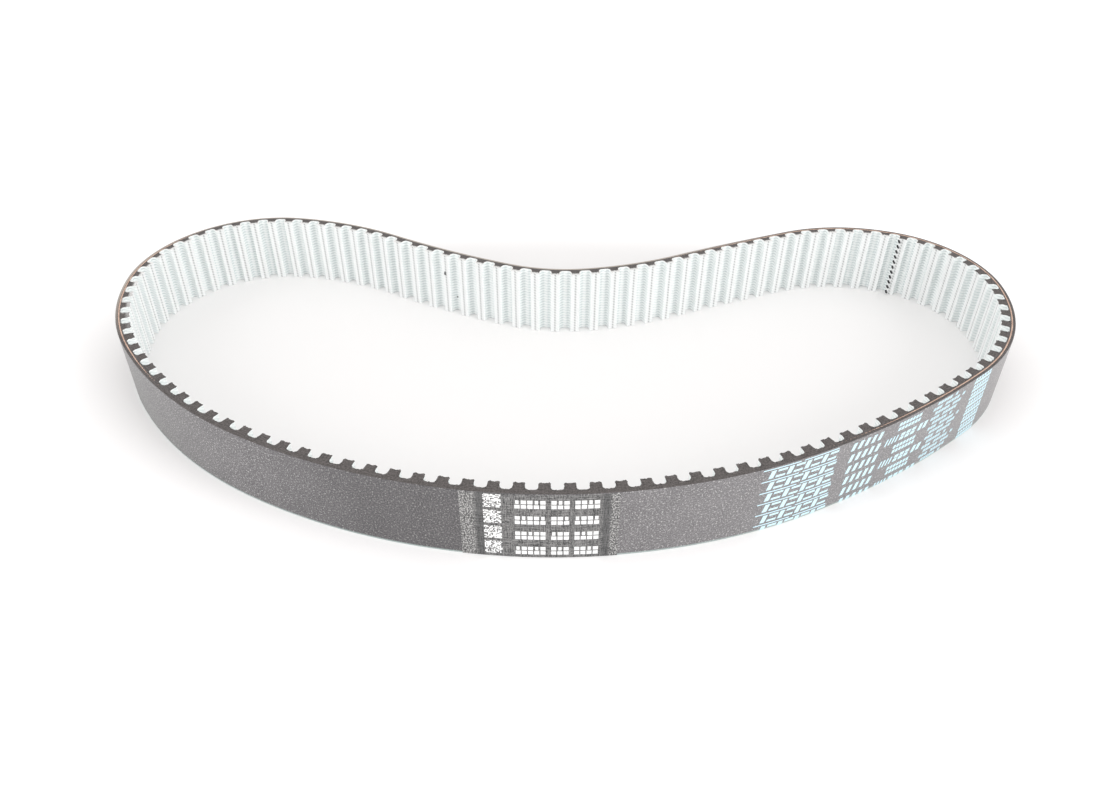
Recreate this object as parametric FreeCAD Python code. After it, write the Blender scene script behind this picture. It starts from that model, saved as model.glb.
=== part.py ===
"""Synchronous (timing) belt, 8 mm pitch, 111 teeth, 28 mm wide, standing relaxed on its cut edge.

The belt is an endless band, so its pitch line is a closed chain of tangent arcs. Everything else is
placed by two belt coordinates: the station along the pitch line, and the depth from it, which is
positive towards the teeth (inside the loop) and negative towards the back. The loop is made in
lengths that hinge at the bare lands between two teeth, where the real belt bends most easily. Each
length has its own backing, cord bed, tension cords, tooth cores and facing fabric.
"""
import FreeCAD, Part
import math
import os
from FreeCAD import Vector

# ---- Driving dimensions, in millimetres and degrees ------------------------------------------------
PITCH = 8.0
WIDTH = 28.0
PITCH_LINE_DEPTH = 0.686       # from the lands' surface down to the middle of the cords
BODY_THICKNESS = 2.0           # from the lands' surface to the back
TOOTH_HEIGHT = 3.2
TOOTH_BASE = 6.4
ROOT_RADIUS = 0.8
CROWN_RADIUS = 0.85
FLANK_ANGLE = 74.0             # where the flank leaves the root fillet
FLANK_CURVE = 12.0             # how far the flank leans over before the crown
GROOVE_ANGLE = 22.0            # slope at the lip of the shallow groove along the crown

FABRIC = 0.3
CORD_RADIUS = 0.36
CORD_PITCH = 1.4
CORD_STARTS = 2                # an S-twist and a Z-twist cord are wound side by side
CORD_COVER = 0.04              # rubber between the cords and the backing
CORD_EDGE_TOOTH = 4.5          # where a cord runs exactly along the upper cut edge
LEAST_SLICE = 0.5              # a cord cut to less than this share of its radius is trimmed away

HINGE_SWING = 10.0             # the most that two neighbouring lengths turn against each other
HINGE_SPARE = 0.5
HINGE_SLIT = 0.02              # half the slit at a hinge line
OPEN_SLIT = 0.05               # half the slit where the loop is opened

# The relaxed loop, counter-clockwise from the open joint: teeth, and turn to the left, of each arc
ARCS = (
    (6, 42.08), (7, 3.84), (5, -16.91), (4, -27.81), (7, -9.80), (6, 22.37), (11, 99.39),
    (6, 31.88), (9, 26.55), (12, 26.11), (13, 29.61), (10, 13.97), (8, 50.62), (7, 68.10),
)
START_HEADING = 158.32         # direction of the pitch line at the open joint, from +X

SECTION_TEETH = (9, 8, 8, 10, 10, 11, 12, 12, 11, 10, 10)
FIRST_TOOTH = 68               # at the open joint; tooth 1 is at the left end of the loop

LABEL_START_TOOTH = 27.7       # the printed transfer label is on the back, over these teeth
LABEL_TEETH = 6.2
LABEL_THICKNESS = 0.1

STITCHES = 11                  # along the facing's lap seam, on the tooth before the open joint
STITCH_RADIUS = 0.22
STITCH_LENGTH = 1.6
STITCH_SLANT = 35.0            # from the line across the belt

# ---- Depths of the layers, from the pitch line -----------------------------------------------------
TEETH = sum(teeth for teeth, turn in ARCS)
LENGTH = TEETH * PITCH
LAND = PITCH_LINE_DEPTH
BACK = LAND - BODY_THICKNESS
BED_BOTTOM = -(CORD_RADIUS + CORD_COVER)
BED_TOP = LAND - FABRIC
TILT = math.tan(math.radians(HINGE_SWING / 2 + HINGE_SPARE))


def sin(angle):
    return math.sin(math.radians(angle))


def cos(angle):
    return math.cos(math.radians(angle))


# ---- The pitch line ------------------------------------------------------------------------------
class Arc:
    """One arc of the pitch line: where it starts, its heading there in radians, and its curvature."""

    def __init__(self, station, x, y, heading, teeth, turn):
        self.start = station
        self.length = teeth * PITCH
        self.end = station + self.length
        self.curvature = math.radians(turn) / self.length
        self.x = x
        self.y = y
        self.heading = heading

    def point(self, station, depth):
        heading = self.heading + self.curvature * (station - self.start)
        x = self.x + (math.sin(heading) - math.sin(self.heading)) / self.curvature
        y = self.y - (math.cos(heading) - math.cos(self.heading)) / self.curvature
        return Vector(x - depth * math.sin(heading), y + depth * math.cos(heading), 0)


def chain_of_arcs(x, y):
    arcs = []
    station = 0.0
    heading = math.radians(START_HEADING)
    for teeth, turn in ARCS:
        arc = Arc(station, x, y, heading, teeth, turn)
        end = arc.point(arc.end, 0)
        x = end.x
        y = end.y
        station = arc.end
        heading += math.radians(turn)
        arcs.append(arc)
    return arcs


def centred_loop():
    """The chain of arcs with the middle of the belt's outline on the origin."""
    arcs = chain_of_arcs(0.0, 0.0)
    outline = [arc.point(arc.start + step, BACK) for arc in arcs for step in range(int(arc.length))]
    xs = [point.x for point in outline]
    ys = [point.y for point in outline]
    return chain_of_arcs(-(min(xs) + max(xs)) / 2, -(min(ys) + max(ys)) / 2)


LOOP = centred_loop()


def arc_at(station):
    for arc in LOOP:
        if station <= arc.end:
            return arc
    return LOOP[-1]


def place(station, depth):
    return arc_at(station).point(station, depth)


def tooth_station(number):
    """The middle of a tooth, by its number; fractions are places between two teeth."""
    return ((number - FIRST_TOOTH + 0.5) % TEETH) * PITCH


# ---- Edges and prisms ------------------------------------------------------------------------------
def line(a, b):
    return Part.LineSegment(a, b).toShape()


def curve(a, middle, b):
    return Part.Arc(a, middle, b).toShape()


def along(start, end, depth):
    """Edges at one depth between two stations, in the direction from start to end."""
    low = min(start, end)
    high = max(start, end)
    joints = [arc.start for arc in LOOP if low + 1e-6 < arc.start < high - 1e-6]
    stations = [low] + joints + [high]
    if start > end:
        stations.reverse()
    edges = []
    for a, b in zip(stations, stations[1:]):
        arc = arc_at((a + b) / 2)
        edges.append(curve(arc.point(a, depth), arc.point((a + b) / 2, depth), arc.point(b, depth)))
    return edges


def prism(edges, bottom=0.0, height=WIDTH):
    wire = Part.Wire(edges)
    wire.translate(Vector(0, 0, bottom))
    return Part.Face(wire).extrude(Vector(0, 0, height))


def slit(half_width, depth):
    """How far a length's end face stands back from the hinge line at one depth."""
    return half_width + abs(depth) * TILT


class Section:
    """One length of the belt, between two hinge lines."""

    def __init__(self, number, start):
        self.number = number
        self.teeth = SECTION_TEETH[number - 1]
        self.start = start
        self.end = start + self.teeth * PITCH
        self.start_slit = OPEN_SLIT if number == 1 else HINGE_SLIT
        self.end_slit = OPEN_SLIT if number == len(SECTION_TEETH) else HINGE_SLIT

    def low(self, depth):
        return self.start + slit(self.start_slit, depth)

    def high(self, depth):
        return self.end - slit(self.end_slit, depth)

    def tooth_middles(self):
        return [self.start + (index + 0.5) * PITCH for index in range(self.teeth)]


# ---- The tooth outline ------------------------------------------------------------------------------
class ToothOutline:
    """Half of a tooth's outline, from its root to the middle of its crown, as (across, depth) points.

    The outer face of the fabric turns through a root fillet, a gently curved flank, a crown corner and
    half of the crown groove. The rubber core inside it is the same outline, one fabric thickness in.
    """

    def __init__(self):
        lip = FLANK_ANGLE - FLANK_CURVE
        rise = TOOTH_HEIGHT - ROOT_RADIUS * (1 - cos(FLANK_ANGLE)) - CROWN_RADIUS * (1 - cos(lip))
        self.flank_radius = rise / (cos(lip) - cos(FLANK_ANGLE))
        run = ROOT_RADIUS * sin(FLANK_ANGLE) + self.flank_radius * (sin(FLANK_ANGLE) - sin(lip))
        run += CROWN_RADIUS * (sin(lip) + sin(GROOVE_ANGLE))
        self.groove_radius = (TOOTH_BASE / 2 - run) / sin(GROOVE_ANGLE)

    def turn(self, points, angle_in, angle_out, radius, inset):
        """Adds the middle and the end of one bend. Angles are slopes, and a convex bend lowers them."""
        convex = angle_out < angle_in
        across, depth = points[-1]
        size = radius - inset if convex else radius + inset
        side = 1 if convex else -1
        for angle in ((angle_in + angle_out) / 2, angle_out):
            moved = across + side * size * (sin(angle_in) - sin(angle))
            raised = depth + side * size * (cos(angle) - cos(angle_in))
            points.append((moved, raised))

    def crown(self, points, inset):
        lip = FLANK_ANGLE - FLANK_CURVE
        self.turn(points, FLANK_ANGLE, lip, self.flank_radius, inset)
        self.turn(points, lip, -GROOVE_ANGLE, CROWN_RADIUS, inset)
        self.turn(points, -GROOVE_ANGLE, 0.0, self.groove_radius, inset)
        return points

    def fabric_half(self):
        points = [(-TOOTH_BASE / 2, LAND)]
        self.turn(points, 0.0, FLANK_ANGLE, ROOT_RADIUS, 0.0)
        return self.crown(points, 0.0)

    def core_half(self):
        """The core's flank runs straight down to the cord bed, where the fabric fills the root."""
        across, depth = self.fabric_half()[2]
        across += FABRIC * sin(FLANK_ANGLE)
        depth -= FABRIC * cos(FLANK_ANGLE)
        foot = across - (depth - BED_TOP) / math.tan(math.radians(FLANK_ANGLE))
        return (foot, BED_TOP), self.crown([(across, depth)], FABRIC)


OUTLINE = ToothOutline()


def on_tooth(middle, across, depth):
    """A point of a tooth that keeps its true width where the belt is curved."""
    return place(middle + across / (1 - depth * arc_at(middle).curvature), depth)


def arcs_through(middle, half):
    """The curved edges over a whole tooth, from one half's points."""
    points = half + [(-across, depth) for across, depth in reversed(half[:-1])]
    corners = [on_tooth(middle, across, depth) for across, depth in points]
    return [curve(*corners[index:index + 3]) for index in range(0, len(corners) - 1, 2)]


def core_edges(middle):
    """The outline of a core above the cord bed, and the place where it stands on it."""
    foot, half = OUTLINE.core_half()
    left = on_tooth(middle, *foot)
    right = on_tooth(middle, -foot[0], foot[1])
    over = arcs_through(middle, half)
    first = on_tooth(middle, *half[0])
    last = on_tooth(middle, -half[0][0], half[0][1])
    spread = foot[0] / (1 - foot[1] * arc_at(middle).curvature)
    return [line(left, first)] + over + [line(last, right)], middle + spread, middle - spread


# ---- The five layers ---------------------------------------------------------------------------------
def backing(section):
    edges = along(section.low(BACK), section.high(BACK), BACK)
    edges.append(line(place(section.high(BACK), BACK), place(section.high(BED_BOTTOM), BED_BOTTOM)))
    edges += along(section.high(BED_BOTTOM), section.low(BED_BOTTOM), BED_BOTTOM)
    edges.append(line(place(section.low(BED_BOTTOM), BED_BOTTOM), place(section.low(BACK), BACK)))
    return prism(edges)


def cord_heights(section):
    """The cords climb one lead round the loop, so each length has them a little higher than the last."""
    halfway = (section.start + section.end) / 2
    climb = CORD_STARTS * CORD_PITCH * (halfway - tooth_station(CORD_EDGE_TOOTH)) / LENGTH
    kept = CORD_RADIUS * (1 - LEAST_SLICE)
    count = int(WIDTH / CORD_PITCH) + 2 * CORD_STARTS
    heights = [WIDTH + climb + (CORD_STARTS - index) * CORD_PITCH for index in range(count + 1)]
    return [height for height in heights if -kept <= height <= WIDTH + kept]


def cord_profile(start, height, sliced):
    """A cord's round section, or what a cut edge leaves of it."""
    centre = place(start, 0.0) + Vector(0, 0, height)
    inward = (place(start, 1.0) - place(start, 0.0)).normalize()
    forward = Vector(inward.y, -inward.x, 0)
    edge = WIDTH if height > WIDTH / 2 else 0.0
    rise = edge - height
    if not sliced or abs(rise) >= CORD_RADIUS:
        return Part.Wire(Part.Circle(centre, forward, CORD_RADIUS).toShape())
    half_chord = inward * math.sqrt(CORD_RADIUS ** 2 - rise ** 2)
    left = centre - half_chord + Vector(0, 0, rise)
    right = centre + half_chord + Vector(0, 0, rise)
    kept_side = Vector(0, 0, -CORD_RADIUS if edge else CORD_RADIUS)
    return Part.Wire([curve(left, centre + kept_side, right), line(right, left)])


def cord_tube(start, end, height, sliced):
    path = Part.Wire(along(start, end, 0.0))
    path.translate(Vector(0, 0, height))
    return path.makePipeShell([cord_profile(start, height, sliced)], True, False)


def tension_cords(section):
    stand_back = CORD_RADIUS * TILT
    start = section.start + section.start_slit + stand_back
    end = section.end - section.end_slit - stand_back
    return Part.makeCompound([cord_tube(start, end, height, True) for height in cord_heights(section)])


def cord_bed(section):
    edges = along(section.low(BED_BOTTOM), section.high(BED_BOTTOM), BED_BOTTOM)
    high = [place(section.high(depth), depth) for depth in (BED_BOTTOM, 0.0, BED_TOP)]
    edges += [line(high[0], high[1]), line(high[1], high[2])]
    edges += along(section.high(BED_TOP), section.low(BED_TOP), BED_TOP)
    low = [place(section.low(depth), depth) for depth in (BED_TOP, 0.0, BED_BOTTOM)]
    edges += [line(low[0], low[1]), line(low[1], low[2])]
    tunnels = [cord_tube(section.start, section.end, height, False) for height in cord_heights(section)]
    return prism(edges).cut(Part.makeCompound(tunnels))


def tooth_cores(section):
    cores = []
    for middle in section.tooth_middles():
        over, left, right = core_edges(middle)
        cores.append(prism(over + along(right, left, BED_TOP)))
    return Part.makeCompound(cores)


def facing_fabric(section):
    outside = []
    inside = []
    reached = section.low(LAND)
    under = section.low(BED_TOP)
    fabric_half = OUTLINE.fabric_half()
    for middle in section.tooth_middles():
        root = TOOTH_BASE / 2 / (1 - LAND * arc_at(middle).curvature)
        outside += along(reached, middle - root, LAND)
        outside += arcs_through(middle, fabric_half)
        reached = middle + root
        over, left, right = core_edges(middle)
        inside += along(under, left, BED_TOP) + over
        under = right
    outside += along(reached, section.high(LAND), LAND)
    inside += along(under, section.high(BED_TOP), BED_TOP)
    ends = [line(place(section.high(LAND), LAND), place(section.high(BED_TOP), BED_TOP))]
    ends.append(line(place(section.low(LAND), LAND), place(section.low(BED_TOP), BED_TOP)))
    return prism(Part.__sortEdges__(outside + inside + ends))


# ---- What is on the belt -----------------------------------------------------------------------------
def transfer_label():
    start = tooth_station(LABEL_START_TOOTH)
    end = start + LABEL_TEETH * PITCH
    outer = BACK - LABEL_THICKNESS
    edges = along(start, end, outer) + [line(place(end, outer), place(end, BACK))]
    edges += along(end, start, BACK) + [line(place(start, BACK), place(start, outer))]
    return prism(edges)


def seam_thread():
    """Short slanted stitches over the crown corner of the last tooth, each a separate piece of thread."""
    middle = tooth_station(FIRST_TOOTH - 1)
    across, depth = OUTLINE.fabric_half()[5]
    corner = on_tooth(middle, -across, depth)
    beyond = on_tooth(middle, -across + 1.0, depth)
    lean = FLANK_ANGLE - (FLANK_CURVE + FLANK_ANGLE) / 2
    sideways = (beyond - corner).normalize()
    inward = Vector(-sideways.y, sideways.x, 0)
    outward = sideways * sin(lean) + inward * cos(lean)
    down = sideways * cos(lean) - inward * sin(lean)
    axis = Vector(0, 0, cos(STITCH_SLANT)) + down * sin(STITCH_SLANT)
    spacing = WIDTH / STITCHES
    stitches = []
    for index in range(STITCHES):
        centre = corner + outward * STITCH_RADIUS + Vector(0, 0, (index + 0.5) * spacing)
        base = centre - axis * (STITCH_LENGTH / 2)
        stitches.append(Part.makeCylinder(STITCH_RADIUS, STITCH_LENGTH, base, axis))
    return Part.makeCompound(stitches)


# ---- Assembly ------------------------------------------------------------------------------------------
def sections():
    made = []
    start = 0.0
    for number in range(1, len(SECTION_TEETH) + 1):
        made.append(Section(number, start))
        start = made[-1].end
    return made


LAYERS = (backing, cord_bed, tension_cords, tooth_cores, facing_fabric)


def main():
    os.makedirs("parts", exist_ok=True)
    nodes = {"transfer_label": transfer_label(), "seam_thread": seam_thread()}
    for section in sections():
        for layer in LAYERS:
            nodes[f"{layer.__name__}_{section.number:02d}"] = layer(section)
    for name, shape in nodes.items():
        volume = sum(solid.Volume for solid in shape.Solids)
        print(f"{name}: {len(shape.Solids)} solids, {volume:.1f} mm3, valid {shape.isValid()}")
        shape.exportStep(f"parts/{name}.step")


main()
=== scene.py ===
import math

import bpy
import numpy as np
from mathutils import Matrix, Vector


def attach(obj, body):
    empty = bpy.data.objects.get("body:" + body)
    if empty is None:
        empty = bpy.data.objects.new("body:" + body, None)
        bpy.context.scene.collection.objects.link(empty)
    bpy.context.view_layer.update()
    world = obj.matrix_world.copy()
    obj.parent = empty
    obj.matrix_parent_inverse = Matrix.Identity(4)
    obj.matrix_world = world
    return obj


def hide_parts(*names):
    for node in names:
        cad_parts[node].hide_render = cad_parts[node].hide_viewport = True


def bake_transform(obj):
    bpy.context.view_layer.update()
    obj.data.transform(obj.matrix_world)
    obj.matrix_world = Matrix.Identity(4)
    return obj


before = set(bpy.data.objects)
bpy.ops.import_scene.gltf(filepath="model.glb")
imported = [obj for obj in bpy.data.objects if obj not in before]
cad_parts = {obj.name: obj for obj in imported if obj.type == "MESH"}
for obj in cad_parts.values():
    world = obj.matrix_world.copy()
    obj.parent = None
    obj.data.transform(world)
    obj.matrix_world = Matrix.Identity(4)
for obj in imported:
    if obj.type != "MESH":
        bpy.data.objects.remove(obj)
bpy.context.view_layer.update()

# ---- Driving dimensions, in metres and degrees
MM = 0.001
PITCH = 8.0 * MM
WIDTH = 28.0 * MM
PITCH_LINE_DEPTH = 0.686 * MM  # from the lands' surface down to the middle of the cords
BODY_THICKNESS = 2.0 * MM      # from the lands' surface to the back
TOOTH_HEIGHT = 3.2 * MM
TOOTH_BASE = 6.1 * MM
ROOT_RADIUS = 1.15 * MM
CROWN_RADIUS = 0.48 * MM
FLANK_ANGLE = math.radians(80)     # the flank's slope above the root
LIP_ANGLE = math.radians(94)       # its slope under the crown's corner, which overhangs a little
GROOVE_ANGLE = math.radians(20)    # the slope of the groove along the crown, at its side
FABRIC = 0.3 * MM
CORD_RADIUS = 0.36 * MM
CORD_COVER = 0.04 * MM         # rubber between the cords and the backing

# The relaxed loop, counter-clockwise from the open joint: teeth, and turn to the left, of each arc
ARCS = (
    (6, 42.08), (7, 3.84), (5, -16.91), (4, -27.81), (7, -9.80), (6, 22.37), (11, 99.39),
    (6, 31.88), (9, 26.55), (12, 26.11), (13, 29.61), (10, 13.97), (8, 50.62), (7, 68.10),
)
START_HEADING = math.radians(158.32)
LENGTH_TEETH = (9, 8, 8, 10, 10, 11, 12, 12, 11, 10, 10)
FIRST_TOOTH = 68               # at the open joint

TEETH = sum(LENGTH_TEETH)
AROUND = TEETH * PITCH

# Depths are measured from the pitch line towards the teeth
LAND = PITCH_LINE_DEPTH
BACK = LAND - BODY_THICKNESS
BED_BOTTOM = -(CORD_RADIUS + CORD_COVER)
BED_TOP = LAND - FABRIC

random = np.random.default_rng(111)


# ---- The pitch line --------------------------
def chain_of_arcs(x, y):
    """Columns: start, end, x, y, heading and curvature of each arc of the pitch line."""
    rows = []
    station = 0.0
    heading = START_HEADING
    for teeth, turn in ARCS:
        length = teeth * PITCH
        curvature = math.radians(turn) / length
        rows.append((station, station + length, x, y, heading, curvature))
        after = heading + curvature * length
        x += (math.sin(after) - math.sin(heading)) / curvature
        y -= (math.cos(after) - math.cos(heading)) / curvature
        heading = after
        station += length
    return np.array(rows)


def on_chain(chain, station, depth):
    """Points in the plan view, from stations along the pitch line and depths towards the teeth."""
    station, depth = np.broadcast_arrays(np.asarray(station, float), np.asarray(depth, float))
    index = np.minimum(np.searchsorted(chain[:, 1], station - 1e-12), len(chain) - 1)
    start, _, x, y, heading, curvature = chain[index].transpose(-1, *range(station.ndim))
    after = heading + curvature * (station - start)
    across = x + (np.sin(after) - np.sin(heading)) / curvature - depth * np.sin(after)
    ahead = y - (np.cos(after) - np.cos(heading)) / curvature + depth * np.cos(after)
    return np.stack([across, ahead], -1)


def centred_chain():
    """The pitch line, moved so that the back's outline is centred on the origin."""
    chain = chain_of_arcs(0.0, 0.0)
    outline = on_chain(chain, np.arange(0, AROUND, MM), BACK)
    middle = (outline.min(0) + outline.max(0)) / 2
    return chain_of_arcs(*-middle)


CHAIN = centred_chain()


def place(station, depth):
    """Points of the belt in the plan view."""
    return on_chain(CHAIN, station, depth)


def curvature_at(station):
    """The pitch line's turn per length, positive to the left."""
    index = np.minimum(np.searchsorted(CHAIN[:, 1], np.asarray(station) - 1e-12), len(CHAIN) - 1)
    return CHAIN[index, 5]


def solid_points(station, depth, height):
    """Points in space from the belt's three coordinates."""
    station, depth, height = np.broadcast_arrays(station, depth, height)
    return np.concatenate([place(station, depth), height[..., None]], -1)


def tooth_station(number):
    """The station of a tooth's middle. Fractions lie towards the next tooth."""
    return ((number - FIRST_TOOTH + 0.5) % TEETH) * PITCH


# ---- The tooth outline, by columns along the belt
LAND_STEP = 0.4 * MM           # from the middle of a land to the outline's second point
ROOT_STEPS = 4
FLANK_STEPS = 2
CROWN_STEPS = 6
GROOVE_STEPS = 4
EASE = 0.8 * MM                # over which a tooth's widening dies out towards the middle of the land


def bend(points, angle_in, angle_out, radius, steps):
    """Adds one arc of the outline. Angles are slopes, and a convex bend lowers them."""
    side = 1 if angle_out < angle_in else -1
    across, depth = points[-1]
    for angle in np.linspace(angle_in, angle_out, steps + 1)[1:]:
        moved = across + side * radius * (math.sin(angle_in) - math.sin(angle))
        raised = depth + side * radius * (math.cos(angle) - math.cos(angle_in))
        points.append((moved, raised))


def half_tooth():
    """Outer and inner face of the fabric from the middle of a land to the middle of a crown.
    The flanks are hollow, so that the crown's corners stand out like small ears."""
    rise = TOOTH_HEIGHT - ROOT_RADIUS * (1 - math.cos(FLANK_ANGLE))
    rise -= CROWN_RADIUS * (1 - math.cos(LIP_ANGLE))
    flank_radius = rise / (math.cos(FLANK_ANGLE) - math.cos(LIP_ANGLE))
    run = ROOT_RADIUS * math.sin(FLANK_ANGLE)
    run += flank_radius * (math.sin(LIP_ANGLE) - math.sin(FLANK_ANGLE))
    run += CROWN_RADIUS * (math.sin(LIP_ANGLE) + math.sin(GROOVE_ANGLE))
    groove_radius = (TOOTH_BASE / 2 - run) / math.sin(GROOVE_ANGLE)

    def crown(points, inset):
        bend(points, FLANK_ANGLE, LIP_ANGLE, flank_radius + inset, FLANK_STEPS)
        bend(points, LIP_ANGLE, -GROOVE_ANGLE, CROWN_RADIUS - inset, CROWN_STEPS)
        bend(points, -GROOVE_ANGLE, 0.0, groove_radius + inset, GROOVE_STEPS)

    outer = [(-PITCH / 2, LAND), (-PITCH / 2 + LAND_STEP, LAND), (-TOOTH_BASE / 2, LAND)]
    bend(outer, 0.0, FLANK_ANGLE, ROOT_RADIUS, ROOT_STEPS)
    crown(outer, 0.0)
    inner = [(across, BED_TOP) for across, _ in outer[:3]]
    bend(inner, 0.0, FLANK_ANGLE, ROOT_RADIUS + FABRIC, ROOT_STEPS)
    crown(inner, FABRIC)
    return np.array(outer), np.array(inner)


OUTER_HALF, INNER_HALF = half_tooth()
HALF_STEPS = len(OUTER_HALF) - 1
GROOVE_SIDE = OUTER_HALF[-1 - GROOVE_STEPS]      # where the crown's corner ends and its groove starts
CROWN_EDGE = OUTER_HALF[-1 - GROOVE_STEPS - CROWN_STEPS // 2, 0]     # halfway round that corner


class Columns:
    """Every column of the toothed side once round the loop, half a tooth at a time."""

    def __init__(self):
        outer = np.concatenate([OUTER_HALF[:-1], OUTER_HALF[::-1][:-1] * (-1, 1)])
        inner = np.concatenate([INNER_HALF[:-1], INNER_HALF[::-1][:-1] * (-1, 1)])
        step = np.hypot(*np.diff(np.vstack([outer, outer[:1] + (PITCH, 0)]), axis=0).T)
        middles = (np.arange(TEETH) + 0.5) * PITCH
        bent = curvature_at(middles)[:, None]
        self.station, self.depth = self.spread(outer, middles, bent)
        self.inner_station, self.inner_depth = self.spread(inner, middles, bent)
        self.across = np.append(np.tile(outer[:, 0], TEETH), -PITCH / 2)
        self.run = np.append(0.0, np.cumsum(np.tile(step, TEETH)))

    @staticmethod
    def spread(half, middles, bent):
        """True widths on the tooth, where the belt is curved, easing out to the middle of the land."""
        across, depth = half.T
        reach = np.minimum(PITCH / 2 - np.abs(across), EASE) / EASE
        widened = across / (1 - depth * bent)
        station = middles[:, None] + across + (widened - across) * reach
        return np.append(station.ravel(), AROUND), np.append(np.tile(depth, TEETH), depth[0])


COLUMNS = Columns()


# ---- Spans: the belt is cut where each length is stiff, and each span reaches over the bend between two lengths
BLEND_UNDER = 0.3 * MM         # how far below the back a span's end faces are taken to reach


class Span:
    """From the middle of one length to the middle of the next, over the bend between the two."""

    def __init__(self, number):
        starts = np.append(0, np.cumsum(LENGTH_TEETH))
        middles = [2 * start + teeth for start, teeth in zip(starts, LENGTH_TEETH)]
        cuts = [0] + middles + [2 * TEETH]      # counted in half teeth
        self.number = number
        self.halves = (cuts[number], cuts[number + 1])
        self.low = cuts[number] * PITCH / 2
        self.high = cuts[number + 1] * PITCH / 2
        last = len(LENGTH_TEETH)
        self.lengths = [n for n in (number, number + 1) if 1 <= n <= last]

    def columns(self):
        """The span's share of the toothed side's columns."""
        return slice(self.halves[0] * HALF_STEPS, self.halves[1] * HALF_STEPS + 1)

    def clip(self, low, high):
        """The part of a stretch of stations that is on this span, or None."""
        low, high = max(low, self.low), min(high, self.high)
        return (low, high) if high - low > 1e-6 else None

    def attach(self, piece, *layers):
        """Rides the piece on its length. A piece over two lengths is only baked in place and rides on
        neither.
        """
        if layers:
            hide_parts(*[f"{layer}_{n:02d}" for layer in layers for n in self.lengths])
        bodies = [f"length_{n:02d}" for n in self.lengths]
        if len(bodies) == 1:
            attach(piece, bodies[0])
            return
        depths = np.array([BACK - BLEND_UNDER, LAND + TOOTH_HEIGHT])
        ends = [place(np.full(2, station), depths) for station in (self.low, self.high)]
        chord = ends[1].mean(0) - ends[0].mean(0)
        chord /= np.hypot(*chord)
        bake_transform(piece)


SPANS = [Span(number) for number in range(len(LENGTH_TEETH) + 1)]


# ---- Meshes ----------------------------------
def add_mesh(name, points, faces, uv, materials, indices=None, facts=None, angle=40):
    """A piece with belt coordinates as its UVs, in millimetres, and with facts as attributes of its
    points. Edges sharper than the angle, in degrees, stay sharp."""
    mesh = bpy.data.meshes.new(name)
    mesh.from_pydata(points.tolist(), [], faces)
    corners = np.zeros(len(mesh.loops), np.int32)
    mesh.loops.foreach_get("vertex_index", corners)
    layer = mesh.uv_layers.new(name="belt")
    layer.data.foreach_set("uv", (uv / MM)[corners].astype(np.float32).ravel())
    for fact, values in (facts or {}).items():
        attribute = mesh.attributes.new(fact, "FLOAT", "POINT")
        attribute.data.foreach_set("value", values.astype(np.float32))
    for material in materials:
        mesh.materials.append(material)
    if indices is not None:
        mesh.polygons.foreach_set("material_index", np.asarray(indices, np.int32))
    mesh.shade_smooth()
    mesh.set_sharp_from_angle(angle=math.radians(angle))
    mesh.update()
    piece = bpy.data.objects.new(name, mesh)
    bpy.context.scene.collection.objects.link(piece)
    return piece


def ring_faces(count, around):
    """Quads of a closed band of rings, and its two end caps."""
    a = (np.arange(count - 1)[:, None] * around + np.arange(around)).ravel()
    b = (np.arange(count - 1)[:, None] * around + (np.arange(around) + 1) % around).ravel()
    quads = np.stack([a, b, b + around, a + around], 1).tolist()
    last = (count - 1) * around
    return quads + [list(range(around))[::-1], [last + i for i in range(around)]]


def band(name, rings, uv, materials, sides=None, facts=None, angle=40):
    """A solid from cross-section rings: rings[i, j] is point j round section i. sides gives the
    material of each face round a section, and the end caps have the second one."""
    count, around = rings.shape[:2]
    indices = None
    if sides is not None:
        indices = np.append(np.tile(sides, count - 1), [1, 1])
    flat_facts = {fact: values.reshape(-1) for fact, values in (facts or {}).items()}
    faces = ring_faces(count, around)
    points = rings.reshape(-1, 3)
    return add_mesh(name, points, faces, uv.reshape(-1, 2), materials, indices, flat_facts, angle)


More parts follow.
